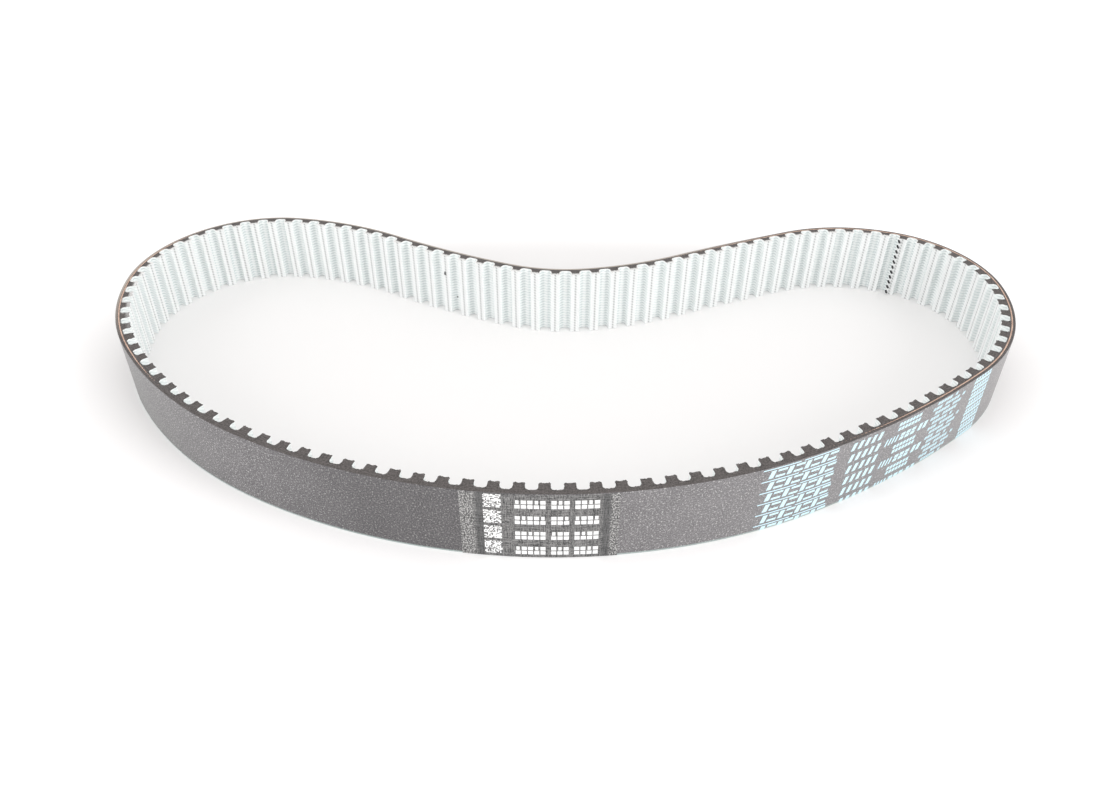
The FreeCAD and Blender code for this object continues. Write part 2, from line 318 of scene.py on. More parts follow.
# ---- Materials -------------------------------
class Nodes:
    """A short way to write a material's nodes."""

    def __init__(self, name, roughness, **values):
        self.material = bpy.data.materials.new(name)
        self.material.use_nodes = True
        self.tree = self.material.node_tree
        self.shader = self.tree.nodes["Principled BSDF"]
        self.shader.inputs["Roughness"].default_value = roughness
        for socket, value in values.items():
            self.shader.inputs[socket.replace("_", " ")].default_value = value

    def add(self, kind, **settings):
        node = self.tree.nodes.new("ShaderNode" + kind)
        for name, value in settings.items():
            setattr(node, name, value)
        return node

    def feed(self, socket, value):
        """Links the value to the socket, or sets it there."""
        if isinstance(value, bpy.types.NodeSocket):
            self.tree.links.new(value, socket)
        else:
            socket.default_value = value

    def math(self, operation, *values):
        node = self.add("Math", operation=operation)
        for socket, value in zip(node.inputs, values):
            self.feed(socket, value)
        return node.outputs[0]

    def times(self, a, b):
        return self.math("MULTIPLY", a, b)

    def mix(self, factor, a, b):
        """Colour a where the factor is 0, colour b where it is 1."""
        node = self.add("Mix", data_type="RGBA")
        self.feed(node.inputs[0], factor)
        self.feed(node.inputs[6], a if isinstance(a, bpy.types.NodeSocket) else (*a, 1.0))
        self.feed(node.inputs[7], b if isinstance(b, bpy.types.NodeSocket) else (*b, 1.0))
        return node.outputs[2]

    def ramp(self, value, low, high):
        """0 up to low, 1 from high on."""
        node = self.add("MapRange", clamp=True)
        for socket, number in zip(node.inputs[:5], (value, low, high, 0.0, 1.0)):
            self.feed(socket, number)
        return node.outputs[0]

    def teeth(self, station, low, high):
        """0 at the first tooth number, 1 at the second, and level beyond them."""
        return self.ramp(station, tooth_station(low) / MM, tooth_station(high) / MM)

    def belt(self):
        """The belt's two surface coordinates in millimetres, together and apart."""
        uv = self.add("UVMap", uv_map="belt")
        split = self.add("SeparateXYZ")
        self.feed(split.inputs[0], uv.outputs[0])
        return uv.outputs[0], split.outputs[0], split.outputs[1]

    def stretch(self, vector, x, y):
        node = self.add("Mapping")
        self.feed(node.inputs[0], vector)
        node.inputs["Scale"].default_value = (x, y, 1)
        return node.outputs[0]

    def noise(self, vector, scale, detail, rough=0.55):
        node = self.add("TexNoise", noise_dimensions="2D")
        self.feed(node.inputs["Vector"], vector)
        node.inputs["Scale"].default_value = scale
        node.inputs["Detail"].default_value = detail
        node.inputs["Roughness"].default_value = rough
        return node.outputs[0]

    def fact(self, name):
        """One of the mesh's own attributes."""
        return self.add("Attribute", attribute_name=name).outputs["Fac"]

    def color(self, value):
        self.feed(self.shader.inputs["Base Color"], value)

    def bump(self, height, distance, strength):
        node = self.add("Bump")
        node.inputs["Strength"].default_value = strength
        node.inputs["Distance"].default_value = distance
        self.feed(node.inputs["Height"], height)
        self.feed(self.shader.inputs["Normal"], node.outputs[0])


def back_rubber():
    """Ground rubber, dusted with pale grains. Painted sheen makes it greener and paler at the loop's left
    end, and paler towards the right and behind. Painted shade darkens it to the left of the label, and a
    painted highlight lightens its lower edge."""
    dust_color = (0.34, 0.33, 0.335)
    grain_color = (0.55, 0.54, 0.53)
    left_sheen_color = (0.37, 0.38, 0.37)
    shade_color = (0.03, 0.028, 0.03)
    rim_highlight_color = (0.50, 0.60, 0.58)
    n = Nodes("back_rubber", 0.45, Specular_IOR_Level=0.5)
    vector, station, height = n.belt()
    fine = n.noise(vector, 2.0, 2.0)
    broad = n.noise(vector, 0.09, 3.0)
    speck = n.noise(vector, 1.6, 1.0)
    # Painted sheen: the rubber is paler towards the loop's right end and round behind it.
    painted_right_sheen = n.math("ADD", n.teeth(station, 28, 55), n.teeth(station, 100, 70))
    dark = n.mix(painted_right_sheen, (0.085, 0.080, 0.085), (0.220, 0.212, 0.217))
    light = n.mix(painted_right_sheen, (0.112, 0.106, 0.111), (0.255, 0.246, 0.251))
    color = n.mix(n.ramp(broad, 0.3, 0.7), dark, light)
    color = n.mix(n.times(n.ramp(fine, 0.40, 0.70), 0.62), color, dust_color)
    color = n.mix(n.times(n.ramp(speck, 0.64, 0.72), 0.8), color, grain_color)
    # Painted sheen: the rubber is greener and paler at the loop's left end.
    left = n.times(n.teeth(station, 17, 8), n.teeth(station, 80, 105))
    color = n.mix(n.times(left, 0.22), color, left_sheen_color)
    shade = n.times(n.teeth(station, 18, 24), n.teeth(station, 34, 30))
    color = n.mix(n.times(shade, 0.42), color, shade_color)
    # Painted highlight: a pale teal band along the lower edge, where the back meets the floor.
    painted_rim_highlight = n.ramp(height, 0.9, 0.35)
    n.color(n.mix(n.times(painted_rim_highlight, 0.75), color, rim_highlight_color))
    n.bump(fine, 0.03 * MM, 0.5)
    return n.material


DARK_CUT = (0.056, 0.050, 0.049)
LIGHT_CUT = (0.155, 0.139, 0.134)
FRAY_START = 0.5               # in millimetres beyond the fray's depth, where its colour starts
FRAY_FULL = 1.3                # and where it is full


def cut_rubber(name, pale, fray=None):
    """The knife-cut edge: brownish, with torn grains and faint drag lines. Along the back wall it is
    pale: beyond a depth in millimetres, where frayed fabric covers it, or at every depth."""
    n = Nodes(name, 0.72, Specular_IOR_Level=0.3)
    vector, station, depth = n.belt()
    torn = n.noise(vector, 1.7, 4.0, 0.65)
    drag = n.noise(n.stretch(vector, 0.25, 3.0), 1.0, 2.0)
    both = n.math("MULTIPLY_ADD", drag, 0.35, n.times(torn, 0.65))
    color = n.mix(n.ramp(both, 0.36, 0.66), DARK_CUT, LIGHT_CUT)
    rear = n.teeth(station, 8, 3)
    if fray is None:
        rear = n.times(rear, n.teeth(station, 70, 80))
    else:
        edge = n.math("MULTIPLY_ADD", torn, 1.6, depth)
        rear = n.times(rear, n.ramp(edge, fray + FRAY_START, fray + FRAY_FULL))
    n.color(n.mix(n.times(rear, 0.85), color, pale))
    n.bump(both, 0.10 * MM, 0.8)
    return n.material


def cut_facing():
    """The cut edge of the fabric: white threads on the back wall, dirty with rubber in front."""
    n = Nodes("cut_fabric", 0.8, Specular_IOR_Level=0.25)
    vector, _, _ = n.belt()
    torn = n.noise(vector, 2.0, 3.0)
    white = n.mix(n.ramp(torn, 0.3, 0.7), (0.62, 0.60, 0.58), (0.92, 0.92, 0.91))
    dirty = n.mix(n.ramp(torn, 0.35, 0.75), (0.05, 0.045, 0.043), (0.20, 0.185, 0.18))
    n.color(n.mix(n.fact("clean"), dirty, white))
    return n.material


# The facing's weave, in millimetres, as its surface coordinates are
RIB_PITCH = 1.29               # of the weft ribs, up the belt
RIB_LEAN = 0.5                 # of the twill lines, height per length along the belt
WARP_PITCH = 0.62              # of the finer crossings, along the belt
WARP_SHIFT = 2.2               # of the crossings from one rib to the next, in radians


def facing():
    """Woven nylon: slanted ribs with painted shade in their valleys, finer crossings on them, and
    flattened crowns. Painted shade darkens the crowns and painted light brightens the lands.
    Painted shadow dashes lie in the roots, and dark dashes in the groove along each crown."""
    land_painted_light_color = (0.975, 0.99, 0.985)
    crown_painted_shade_color = (0.865, 0.875, 0.873)
    valley_shade_color = (0.50, 0.60, 0.60)
    worn_color = (0.62, 0.70, 0.68)
    root_shadow_color = (0.36, 0.44, 0.45)
    dot_color = (0.20, 0.20, 0.20)
    n = Nodes("facing_fabric", 0.8, Specular_IOR_Level=0.25, Sheen_Weight=0.15)
    vector, run, height = n.belt()
    crown = n.fact("crown")
    slanted = n.math("SUBTRACT", height, n.times(run, RIB_LEAN))
    turns = n.math("DIVIDE", slanted, RIB_PITCH)
    crest = n.math("POWER", n.math("ABSOLUTE", n.math("SINE", n.times(turns, math.pi))), 0.6)
    valley = n.math("SUBTRACT", 1.0, crest)
    shift = n.times(n.math("FLOOR", turns), WARP_SHIFT)
    warp = n.math("SINE", n.math("MULTIPLY_ADD", run, 2 * math.pi / WARP_PITCH, shift))
    wear = n.noise(vector, 0.35, 2.0)
    # Painted shade in the ribs' valleys, less on the flattened crowns.
    painted_valley_shade = n.times(valley, n.math("SUBTRACT", 1.0, n.times(crown, 0.65)))
    # Painted light and shade: the lands are painted lighter and the crowns darker, to even out how the
    # light falls on them.
    color = n.mix(crown, land_painted_light_color, crown_painted_shade_color)
    color = n.mix(n.times(painted_valley_shade, 0.5), color, valley_shade_color)
    color = n.mix(n.times(n.ramp(wear, 0.5, 0.75), 0.10), color, worn_color)
    # Painted shadow: dark dashes along the foot of each tooth, in its root.
    level = n.math("ABSOLUTE", n.math("SINE", n.times(height, math.pi / RIB_PITCH)))
    dash = n.ramp(level, 0.85, 0.35)
    foot = n.times(n.fact("foot"), n.math("MULTIPLY_ADD", dash, 0.50, 0.02))
    color = n.mix(foot, color, root_shadow_color)
    dots = n.math("MULTIPLY_ADD", n.ramp(valley, 0.1, 0.5), 0.5, 0.3)
    n.color(n.mix(n.times(n.fact("groove"), dots), color, dot_color))
    n.bump(n.math("MULTIPLY_ADD", warp, 0.35, crest), 0.05 * MM, 0.7)
    return n.material


def twisted_cord():
    """Glass cord in its tan dip, with strands along it."""
    n = Nodes("glass_cord", 0.45, Specular_IOR_Level=0.5)
    vector, _, _ = n.belt()
    strand = n.noise(n.stretch(vector, 0.3, 5.0), 1.0, 2.0)
    n.color(n.mix(n.ramp(strand, 0.3, 0.7), (0.36, 0.21, 0.15), (0.78, 0.56, 0.44)))
    n.bump(strand, 0.05 * MM, 0.6)
    return n.material


def label_film():
    """A transfer film with a linen weave, between a pale and a dark strip at each end."""
    fleck_color = (0.62, 0.61, 0.60)
    strip_color = (0.06, 0.06, 0.062)
    n = Nodes("label_film", 0.55, Specular_IOR_Level=0.4)
    vector, _, _ = n.belt()
    warp = n.noise(n.stretch(vector, 2.6, 0.22), 1.0, 2.0)
    weft = n.noise(n.stretch(vector, 0.22, 2.6), 1.0, 2.0)
    linen = n.times(n.math("ADD", warp, weft), 0.5)
    speck = n.noise(n.stretch(vector, 2.4, 1.5), 1.0, 1.0)
    body = n.mix(n.ramp(linen, 0.40, 0.60), (0.040, 0.040, 0.041), (0.215, 0.212, 0.210))
    flecked = n.math("MULTIPLY_ADD", n.fact("pale"), 0.5, 0.22)
    body = n.mix(n.times(n.ramp(speck, 0.52, 0.62), flecked), body, fleck_color)
    n.color(n.mix(n.times(n.fact("dark"), 0.6), body, strip_color))
    n.bump(linen, 0.04 * MM, 0.8)
    return n.material


def ink(name, color, worn):
    """Printing ink, worn in grains."""
    n = Nodes(name, 0.5, Specular_IOR_Level=0.4)
    vector, _, _ = n.belt()
    grain = n.noise(vector, 2.5, 2.0)
    n.color(n.mix(n.times(n.ramp(grain, 0.5, 0.7), 0.6), color, worn))
    return n.material


def black_thread():
    """Twisted black thread. The rubber crumbs share it."""
    n = Nodes("seam_thread", 0.6, Specular_IOR_Level=0.4)
    vector, _, _ = n.belt()
    ply = n.noise(n.stretch(vector, 2.0, 8.0), 1.0, 1.0)
    n.color(n.mix(n.ramp(ply, 0.35, 0.65), (0.012, 0.012, 0.014), (0.06, 0.06, 0.065)))
    n.bump(ply, 0.04 * MM, 0.6)
    return n.material


BRIGHT_CENTRE = (0, 0.025, 0)  # of the ellipse inside which the paper is painted darker, as painted shade, in metres
BRIGHT_INNER = 0.080           # its half depth where the paper starts to brighten
BRIGHT_OUTER = 0.118           # and where it is brightest
BRIGHT_SQUEEZE = 0.5           # half depth per half width


def paper():
    """White paper, painted darker inside the loop as painted shade, and a little self-lit around the loop
    as painted light, where the light alone leaves it grey.
    """
    n = Nodes("floor", 0.9, Specular_IOR_Level=0.1, Emission_Strength=1.0)
    squeezed = n.stretch(n.add("TexCoord").outputs["Object"], BRIGHT_SQUEEZE, 1.0)
    away = n.add("VectorMath", operation="DISTANCE")
    n.feed(away.inputs[0], squeezed)
    n.feed(away.inputs[1], BRIGHT_CENTRE)
    share = n.ramp(away.outputs["Value"], BRIGHT_INNER, BRIGHT_OUTER)
    outside = n.times(n.times(share, share), n.math("MULTIPLY_ADD", share, -2, 3))
    # Painted shade and light: the paper is darker inside the loop and lighter outside it.
    n.color(n.mix(outside, (0.86, 0.848, 0.845), (0.975, 0.965, 0.965)))
    # Painted light: the paper glows a little around the loop.
    n.feed(n.shader.inputs["Emission Color"], n.mix(outside, (0, 0, 0), (0.07, 0.068, 0.068)))
    return n.material


RUBBER = back_rubber()
CUT_BACK = cut_rubber("cut_backing", (0.47, 0.42, 0.37))
CUT_CORE = cut_rubber("cut_core", (0.80, 0.80, 0.79), 2.5)
CUT_FABRIC = cut_facing()
FACING = facing()
CORD = twisted_cord()
FILM = label_film()
WHITE_INK = ink("white_ink", (0.93, 0.93, 0.93), (0.62, 0.62, 0.62))
CYAN_INK = ink("cyan_ink", (0.66, 0.88, 0.96), (0.52, 0.74, 0.84))
SCUFF = ink("scuff", (0.34, 0.34, 0.34), (0.20, 0.20, 0.20))
THREAD = black_thread()


# ---- The belt's layers -----------------------
def stations(low, high, step):
    """Evenly spaced stations, about a step apart."""
    return np.linspace(low, high, max(2, int(round((high - low) / step)) + 1))


BACK_STEP = 1.0 * MM
CORNER_HEIGHTS = np.array([0.0, 0.05, 0.18, 0.40]) * MM     # of the rounding that the cut leaves
CORNER_INSETS = np.array([0.16, 0.07, 0.015, 0.0]) * MM
PLAIN_ROWS = np.linspace(2 * MM, WIDTH - 2 * MM, 13)


def make_back(span):
    """The backing, with its corners slightly rounded by the cut."""
    station = stations(span.low, span.high, BACK_STEP)
    height = np.concatenate([CORNER_HEIGHTS, PLAIN_ROWS, WIDTH - CORNER_HEIGHTS[::-1]])
    depth = BACK + np.concatenate([CORNER_INSETS, np.zeros(len(PLAIN_ROWS)), CORNER_INSETS[::-1]])
    middle = (BACK + BED_BOTTOM) / 2
    height = np.append(height, [WIDTH, WIDTH, 0.0, 0.0])
    depth = np.append(depth, [middle, BED_BOTTOM, BED_BOTTOM, middle])
    rings = solid_points(station[:, None], depth, height)
    over = np.append(height[:-4], WIDTH + depth[-4:-2] - BACK)
    over = np.append(over, -(depth[-2:] - BACK))
    uv = np.stack(np.broadcast_arrays(station[:, None], over), -1)
    sides = np.zeros(len(height), int)
    sides[-5:] = 1
    name = f"back_{span.number:02d}"
    piece = band(name, rings, uv, [RUBBER, CUT_BACK], sides, angle=60)
    span.attach(piece, "backing")


CORE_SHARES = np.linspace(0.0, 1.0, 5)      # rows on a cut face, from the fabric to the bed's bottom
KNIFE_WAVE = 0.02 * MM


def make_core(span):
    """The cord bed and the tooth rubber as one cut outline, a little uneven where the knife went."""
    cut = span.columns()
    station = COLUMNS.inner_station[cut]
    top = COLUMNS.inner_depth[cut]
    rows = len(CORE_SHARES)
    depth = top[:, None] + (BED_BOTTOM - top)[:, None] * CORE_SHARES
    depth = np.concatenate([depth, depth[:, ::-1]], 1)
    height = np.concatenate([np.full(rows, WIDTH), np.zeros(rows)])
    height = np.broadcast_to(height, depth.shape).copy()
    height[:, 1:rows - 1] += random.normal(0, KNIFE_WAVE, (len(station), rows - 2))
    rings = solid_points(station[:, None], depth, height)
    run = np.broadcast_to(station[:, None], depth.shape)
    uv = np.stack([run, depth], -1)
    piece = band(f"core_{span.number:02d}", rings, uv, [CUT_CORE], angle=50)
    span.attach(piece, "cord_bed", "tension_cords", "tooth_cores")


RIB_PHASES = np.array([0.0, 0.13, 0.36, 0.64, 0.87])        # a valley, its shoulders and the crest
ROW_MARGIN = 0.12 * MM


def rib_rows():
    """Heights that follow the ribs, with the two cut edges."""
    rib = RIB_PITCH * MM
    rows = (np.arange(int(WIDTH / rib) + 1)[:, None] + RIB_PHASES).ravel() * rib
    rows = rows[(rows > ROW_MARGIN) & (rows < WIDTH - ROW_MARGIN)]
    return np.concatenate([[0.0], rows, [WIDTH]])


def outward_normals():
    """The facing's outward direction at each column."""
    points = place(COLUMNS.station, COLUMNS.depth)
    ahead = np.roll(points[:-1], -1, 0)
    behind = np.roll(points[:-1], 1, 0)
    along = ahead - behind
    along /= np.hypot(*along.T)[:, None]
    normal = np.stack([-along[:, 1], along[:, 0]], 1)
    return np.vstack([normal, normal[:1]])


NORMALS = outward_normals()
ROWS = rib_rows()
RIB_DEPTH = 0.06 * MM
CROWN_FLATTENING = 0.8         # share of the ribs' depth that is pressed out of the crowns
GROOVE_RIB_DEPTH = 0.10 * MM   # of the ribs in the groove along a crown
FOOT = TOOTH_BASE / 2 - 0.4 * MM    # middle of the painted shadow line along each root
RAGGED = 0.10                  # spread of the cut edge's raggedness, in millimetres
RAGGED_MOST = 0.22             # the most that it stands out, in millimetres


CROWN_FADE = (0.15 * MM, 0.35 * MM)     # outside and inside the crown's edge
GROOVE_FADE = (0.45 * MM, 0.12 * MM)    # half widths where the groove's marks end and are full
FOOT_FADE = (1.0 * MM, 0.45 * MM)       # and those of the painted shadow line along each root


def smooth(value, low, high):
    """0 at low and before, 1 at high and after, and an S-curve between."""
    share = np.clip((value - low) / (high - low), 0, 1)
    return share * share * (3 - 2 * share)


def facing_facts(cut):
    """Where each column of the facing lies on its tooth, and how clean the cut edge is there."""
    across = np.abs(COLUMNS.across[cut])
    station = COLUMNS.station[cut]
    behind_left = smooth(station, tooth_station(8), tooth_station(2))
    behind_right = smooth(station, tooth_station(62), AROUND)
    return {
        "crown": smooth(across, abs(CROWN_EDGE) + CROWN_FADE[0], abs(CROWN_EDGE) - CROWN_FADE[1]),
        "groove": smooth(across, *GROOVE_FADE),
        "clean": behind_left + behind_right,
        # where the painted shadow line along each root lies
        "foot": smooth(np.abs(across - FOOT), *FOOT_FADE),
    }


def make_facing(span):
    """The ribbed skin over lands and teeth, with a slightly ragged cut edge."""
    cut = span.columns()
    facts = facing_facts(cut)
    rib = np.sqrt(np.abs(np.sin(np.pi * ROWS / (RIB_PITCH * MM)))) - 1
    rib_depth = RIB_DEPTH * (1 - CROWN_FLATTENING * facts["crown"]) + GROOVE_RIB_DEPTH * facts["groove"]
    push = rib_depth[:, None] * rib
    push[:, [0, -1]] = 0
    ragged = np.abs(random.normal(0, RAGGED, (len(push), 2))).clip(0, RAGGED_MOST) * MM
    push[:, -1] += ragged[:, 0]
    base = place(COLUMNS.station[cut], COLUMNS.depth[cut])
    plan = base[:, None] + NORMALS[cut][:, None] * push[..., None]
    height = np.broadcast_to(ROWS, push.shape).copy()
    height[:, -1] += ragged[:, 1]
    outer = np.concatenate([plan, height[..., None]], -1)
    inside = solid_points(
        COLUMNS.inner_station[cut][:, None],
        COLUMNS.inner_depth[cut][:, None],
        np.array([WIDTH, 0.0]),
    )
    rings = np.concatenate([outer, inside], 1)
    over = np.append(ROWS, [WIDTH + FABRIC, -FABRIC])
    uv = np.stack(np.broadcast_arrays(COLUMNS.run[cut][:, None], over), -1)
    sides = np.zeros(len(over), int)
    sides[-3:] = 1
    spread = {fact: np.broadcast_to(values[:, None], uv.shape[:2]) for fact, values in facts.items()}
    name = f"facing_{span.number:02d}"
    piece = band(name, rings, uv, [FACING, CUT_FABRIC], sides, spread, angle=60)
    span.attach(piece, "facing_fabric")


# ---- The cords laid bare by the cut ----------
# Where a cord stands out most from the cut edges, as a tooth number, and how many teeth it shows each way
BARE_CORDS = ((62.0, 19.5), (4.5, 8.0))
UPPER_RISE = 0.15 * MM
LOWER_RISE = 0.03 * MM
CORD_STEP = 0.35 * MM
CORD_SIDES = 12
PLIES = 3                      # twisted together
PLY_DEPTH = 0.06               # of the grooves between plies, as a share of the cord's radius
PLY_LEAD = 5.0 * MM


def cord_parts(span, middle, reach):
    """The stretches of a bare cord that are on a span, each with its middle, also past the open joint."""
    parts = []
    for turn in (-AROUND, 0.0, AROUND):
        part = span.clip(middle - reach + turn, middle + reach + turn)
        if part:
            parts.append((*part, middle + turn))
    return parts


def make_bare_cord(span, index, middle, reach, upper):
    """A cord that climbs out of a cut edge and sinks back into it."""
    angle = np.linspace(0, 2 * np.pi, CORD_SIDES, endpoint=False)
    edge, up, most = (WIDTH, 1, UPPER_RISE) if upper else (0.0, -1, LOWER_RISE)
    for number, (low, high, centre) in enumerate(cord_parts(span, middle, reach)):
        station = stations(low, high, CORD_STEP)
        share = (station - centre) / reach
        rise = most * (1 - share ** 2)
        twist = PLIES * (angle - 2 * np.pi * station[:, None] / PLY_LEAD)
        radius = CORD_RADIUS * (1 - PLY_DEPTH + PLY_DEPTH * np.cos(twist))
        centre_height = edge + up * (rise - CORD_RADIUS)
        depth = radius * np.cos(angle)
        height = centre_height[:, None] + up * radius * np.sin(angle)
        rings = solid_points(station[:, None], depth, height)
        if not upper:
            rings = rings[:, ::-1]
        uv = np.stack(np.broadcast_arrays(station[:, None], angle * CORD_RADIUS), -1)
        name = f"bare_cord_{index}_{'upper' if upper else 'lower'}_{span.number:02d}"
        name += f"_{number}" if number else ""
        piece = band(name, rings, uv, [CORD], angle=80)
        span.attach(piece, "tension_cords")


# ---- Thin marks on the back ------------------
LONGEST_BLOCK = 2.5 * MM       # a longer one is halved, so that it follows the curved back
LEAST_BLOCK = 0.1 * MM         # a lower one is left out
EDGE_GAP = 0.05 * MM           # between the marks and the belt's edges
INK_THICKNESS = 0.03 * MM
SUNK = 0.02 * MM               # how deep marks and label reach into what carries them
BLOCK_FACES = np.array([
    [0, 1, 2, 3],
    [7, 6, 5, 4],
    [0, 4, 5, 1],
    [1, 5, 6, 2],
    [2, 6, 7, 3],
    [3, 7, 4, 0],
])


class Marks:
    """Flat printed marks, each a thin slanted block in belt coordinates."""

    def __init__(self):
        self.blocks = []

    def block(self, station, height, width, tall, slant=0.0):
        """station and height give the lower left corner; slant is the lean to the right, per height."""
        low = max(height, EDGE_GAP)
        high = min(height + tall, WIDTH - EDGE_GAP)
        if high - low < LEAST_BLOCK:
            return
        if width > LONGEST_BLOCK:
            for left in (station, station + width / 2):
                self.block(left, height, width / 2, tall, slant)
            return
        corners = []
        for z, sides in ((low, (0, width)), (high, (width, 0))):
            lean = slant * (z - height)
            corners += [(station + lean + side, z) for side in sides]
        self.blocks.append(corners)

    def build(self, name, material, under, thickness=INK_THICKNESS):
        """One piece for each span that carries any marks; under is the depth of the carrying face."""
        middles = [np.mean([station for station, _ in block]) for block in self.blocks]
        for span in SPANS:
            chosen = [block for block, at in zip(self.blocks, middles) if span.low <= at < span.high]
            if not chosen:
                continue
            flat = np.array(chosen)
            outer = solid_points(flat[..., 0], under - thickness, flat[..., 1])
            inner = solid_points(flat[..., 0], under + SUNK, flat[..., 1])
            points = np.concatenate([outer, inner], 1).reshape(-1, 3)
            uv = np.concatenate([flat, flat], 1).reshape(-1, 2)
            first = 8 * np.arange(len(chosen))[:, None, None]
            faces = (BLOCK_FACES + first).reshape(-1, 4).tolist()
            piece = add_mesh(f"{name}_{span.number:02d}", points, faces, uv, [material])
            span.attach(piece)


LABEL_START = tooth_station(27.7)
LABEL_TEETH = 6.2
LABEL_END = LABEL_START + LABEL_TEETH * PITCH
LABEL_THICKNESS = 0.1 * MM
LABEL_STEP = 0.8 * MM
LABEL_ROWS = np.linspace(0.12 * MM, WIDTH - 0.12 * MM, 15)
LABEL_SHOULDER = 0.10 * MM     # from the belt's edges to the label's foot
# Tooth numbers between which the film's end strips are pale and dark
PALE_STRIPS = ((27.0, 28.3), (33.55, 35.0))
DARK_STRIPS = ((28.32, 28.6), (33.3, 33.52))


def make_label():
    """The film, with facts for its pale and dark strips."""
    for span in SPANS:
        part = span.clip(LABEL_START, LABEL_END)
        if not part:
            continue
        station = stations(*part, LABEL_STEP)
        depth = np.append(np.full(len(LABEL_ROWS), BACK - LABEL_THICKNESS), [BACK + SUNK] * 2)
        height = np.append(LABEL_ROWS, [WIDTH - LABEL_SHOULDER, LABEL_SHOULDER])
        rings = solid_points(station[:, None], depth, height)
        uv = np.stack(np.broadcast_arrays(station[:, None], height), -1)
        tooth = (station / PITCH - 0.5 + FIRST_TOOTH) % TEETH
        facts = {}
        for fact, strips in (("pale", PALE_STRIPS), ("dark", DARK_STRIPS)):
            inside = sum(((tooth > low) & (tooth < high)).astype(float) for low, high in strips)
            facts[fact] = np.broadcast_to(inside[:, None], uv.shape[:2])
        name = f"label_{span.number:02d}"
        piece = band(name, rings, uv, [FILM], facts=facts)
        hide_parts("transfer_label")
        span.attach(piece)


LABEL_LINES = 4
LINE_STEP = 6.85 * MM
SQUARE = 5.6 * MM              # a speckled square's side
CELLS = 14                     # along that side
CELL = SQUARE / CELLS
CELL_CHANCE = 0.6              # of a cell being white
SQUARE_START = tooth_station(28.63)
SQUARE_TOP = WIDTH - 0.4 * MM
BLOCKS_START = tooth_station(29.85)
BLOCKS_BOTTOM = WIDTH - 6.0 * MM
BLOCK_STEP = 1.98 * MM
BLOCK_WIDTH = 1.6 * MM
BLOCK_HALF = 1.55 * MM         # height of either half of a block
BLOCK_SPLIT = 0.4 * MM         # between the halves
BLOCK_NARROWING = 0.55 * MM    # of some upper halves
BLOCK_GROUPS = ((0.0, 5), (11.3 * MM, 3), (18.6 * MM, 4))    # offset and count of each


def make_label_marks():
    """A column of four speckled squares and four rows of plain blocks, which say nothing."""
    marks = Marks()
    for line in range(LABEL_LINES):
        top = SQUARE_TOP - line * LINE_STEP
        for i in range(CELLS):
            for j in range(CELLS):
                if random.random() < CELL_CHANCE:
                    marks.block(SQUARE_START + i * CELL, top - (j + 1) * CELL, CELL, CELL)
    for line in range(LABEL_LINES):
        bottom = BLOCKS_BOTTOM - line * LINE_STEP
        for group, (first, count) in enumerate(BLOCK_GROUPS):
            for k in range(count):
                left = BLOCKS_START + first + k * BLOCK_STEP
                narrow = BLOCK_NARROWING * ((line + 2 * k + group) % 3 == 0)
                upper = bottom + BLOCK_HALF + BLOCK_SPLIT
                marks.block(left, bottom, BLOCK_WIDTH, BLOCK_HALF)
                marks.block(left + narrow / 2, upper, BLOCK_WIDTH - narrow, BLOCK_HALF)
    marks.build("label_marks", WHITE_INK, BACK - LABEL_THICKNESS)


PRINT_SLANT = 0.32             # of all strokes, to the right per height
PRINT_ROWS = 7
PRINT_ROW = 5.0 * MM
PRINT_BOTTOM = WIDTH + 0.4 * MM    # of the top row, which the cut edge takes off
TALL = 3.2 * MM                # the height of the tallest strokes
BAR_COLUMN = tooth_station(39.95)
STROKE_COLUMN = tooth_station(43.95)
MIXED_COLUMN = tooth_station(45.95)
SMALL_COLUMN = tooth_station(48.75)
DENSE_COLUMN = tooth_station(51.6)


def make_print():
    """Rows of slanted strokes in pale blue, cut off by the belt's edges. They form no letters."""
    marks = Marks()
    for row in range(PRINT_ROWS):
        bottom = PRINT_BOTTOM - row * PRINT_ROW
        print_bars(marks, bottom)
        strokes(marks, STROKE_COLUMN, bottom, count=5, step=2.9 * MM, width=1.45 * MM, tall=TALL)
        if row % 2:
            print_double(marks, bottom)
        else:
            print_mixed(marks, bottom)
    print_small(marks)
    print_dense(marks)
    marks.build("back_print", CYAN_INK, BACK)


def strokes(marks, left, bottom, count, step, width, tall):
    for k in range(count):
        marks.block(left + k * step, bottom, width, tall, PRINT_SLANT)


def print_bars(marks, bottom):
    """Four groups of an upright bar and two level ones, under two thin lines."""
    group_step = 6.6 * MM
    level_offset = 2.5 * MM
    level_height = 0.85 * MM
    line_offset = -2.2 * MM
    line_rise = 3.75 * MM
    for k in range(4):
        left = BAR_COLUMN + k * group_step
        marks.block(left, bottom, 1.7 * MM, TALL, PRINT_SLANT)
        for rise in (0.0, TALL - level_height):
            start = left + level_offset + PRINT_SLANT * rise
            marks.block(start, bottom + rise, 3.4 * MM, level_height, PRINT_SLANT)
    start = BAR_COLUMN + line_offset
    strokes(marks, start, bottom + line_rise, count=2, step=15.0 * MM, width=13.6 * MM, tall=0.42 * MM)


def print_double(marks, bottom):
    """Two lines of short strokes."""
    start = MIXED_COLUMN + 5.0 * MM
    for rise in (0.0, 2.1 * MM):
        strokes(marks, start, bottom + rise, count=7, step=1.6 * MM, width=1.15 * MM, tall=1.4 * MM)


